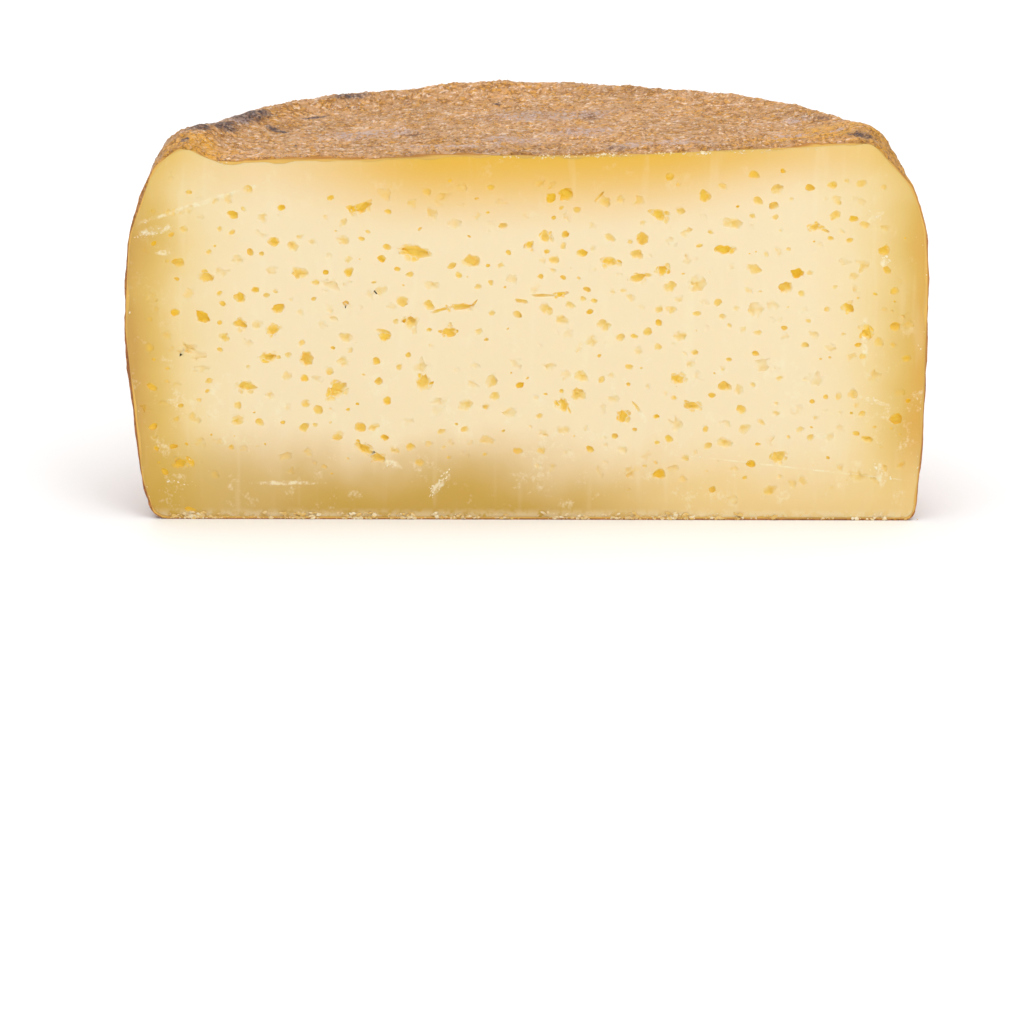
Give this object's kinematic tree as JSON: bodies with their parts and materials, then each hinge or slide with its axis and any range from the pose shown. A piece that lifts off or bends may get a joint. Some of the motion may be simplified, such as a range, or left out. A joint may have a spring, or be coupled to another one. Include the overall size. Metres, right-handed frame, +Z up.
{
  "type": "goat cheese",
  "caption": "Half of a small wheel of semi-hard goat cheese, cut through the middle, with a thin brown rind and small eyes all over the cut face.",
  "frame": {"origin": "on the ground under the half, midway between the left and right ends of its box and midway between the cut face and the back of the rind", "axes": "+X along the cut to the right as one faces it, +Y from the cut face to the back of the rind, +Z up"},
  "size_m": [0.2, 0.0998, 0.0987],
  "materials": {
    "paste": "smooth, slightly moist pale yellow paste with a faint sheen",
    "rind": "dry, finely wrinkled ochre-brown rind with grey-violet mould bloom"
  },
  "bodies": {
    "root": {"cheese_half": "paste"}
  },
  "joints": []
}
